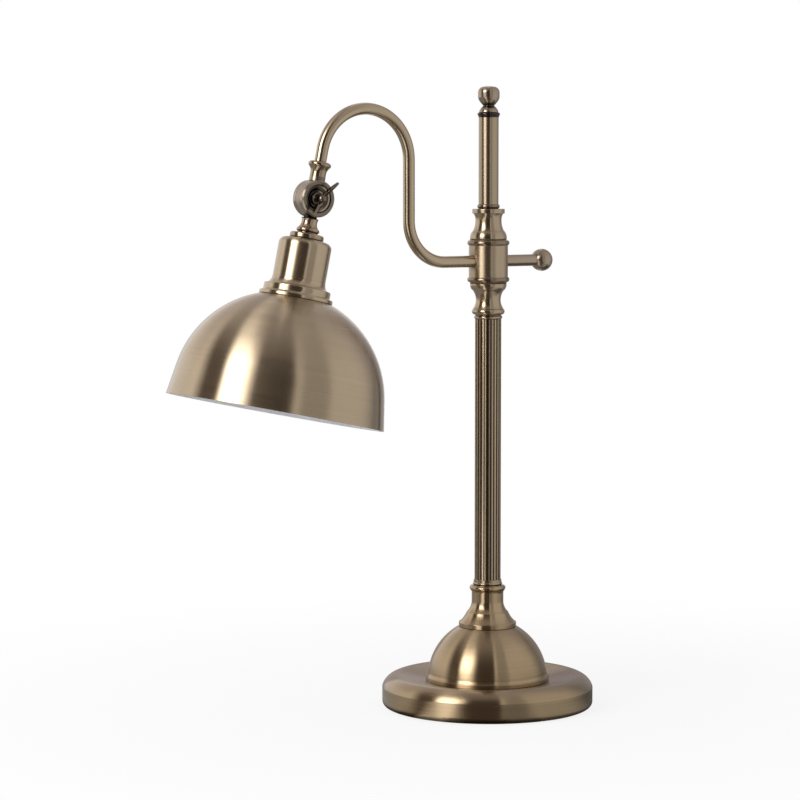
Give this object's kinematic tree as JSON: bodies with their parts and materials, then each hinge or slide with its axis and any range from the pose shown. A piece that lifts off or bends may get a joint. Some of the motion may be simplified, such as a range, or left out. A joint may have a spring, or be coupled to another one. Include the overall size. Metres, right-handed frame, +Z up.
{
  "type": "desk lamp",
  "caption": "Antique brass desk lamp: fluted column on a round domed base, S-bent swivelling arm with a ball end, tilting knuckle with wing key, and a dome shade.",
  "frame": {"origin": "centre of the felt underside of the base, on the column axis", "axes": "+Z up the column, -X out along the arm towards the shade, -Y the side of the wing key"},
  "size_m": [0.3875, 0.18, 0.5285],
  "materials": {
    "satin_brass": "brushed satin brass plate",
    "aged_brass": "polished antique brass with dark lacquer in the hollows",
    "dark_bronze": "dark oil-rubbed bronze finish",
    "plain_brass": "bare turned brass",
    "zinc_steel": "zinc plated steel",
    "felt": "pressed wool felt",
    "black_sheet": "black painted steel sheet",
    "iron": "raw grey cast iron",
    "black_nylon": "black nylon",
    "fibre": "red-brown vulcanised fibre",
    "black_phenolic": "black moulded phenolic"
  },
  "bodies": {
    "base": {"felt_pad": "felt", "bottom_plate": "black_sheet", "weight": "iron", "base_shell": "satin_brass", "cord_bushing": "black_nylon", "base_dome": "satin_brass", "column_collar": "aged_brass", "foot_ring": "dark_bronze", "column": "aged_brass", "lower_collar": "aged_brass", "lower_washer": "fibre", "swivel_sleeve": "plain_brass", "upper_washer": "fibre", "upper_collar": "aged_brass", "post_ring": "dark_bronze", "upper_post": "satin_brass", "post_cap": "dark_bronze", "finial": "satin_brass", "rod": "zinc_steel", "rod_washer": "zinc_steel", "rod_nut": "zinc_steel"},
    "arm": {"barrel": "satin_brass", "arm": "satin_brass", "balance_bar": "satin_brass", "bar_ball": "satin_brass", "ferrule": "aged_brass", "knuckle_drum": "dark_bronze", "knuckle_cover": "dark_bronze"},
    "key": {"wing_key": "dark_bronze"},
    "head": {"knuckle_tongue": "aged_brass", "cap_ring": "aged_brass", "cup": "satin_brass", "nipple": "plain_brass", "lock_nut": "zinc_steel", "gallery": "satin_brass", "shade": "satin_brass", "shade_nut": "black_phenolic", "lamp_holder": "black_phenolic", "screw_shell": "plain_brass", "contact": "plain_brass"}
  },
  "joints": [
    {"name": "arm_swivel", "type": "hinge", "parent": "base", "child": "arm", "pos_m": [0, 0, 0.38099], "axis": [0, 0, 1], "range_deg": [-90, 90]},
    {"name": "shade_tilt", "type": "hinge", "parent": "arm", "child": "head", "pos_m": [-0.17111, 0, 0.43512], "axis": [0, 1, 0], "range_deg": [-25, 45]},
    {"name": "key_turn", "type": "hinge", "parent": "arm", "child": "key", "pos_m": [-0.17111, 0, 0.43512], "axis": [0, -1, 0], "range_deg": [-90, 90]}
  ]
}
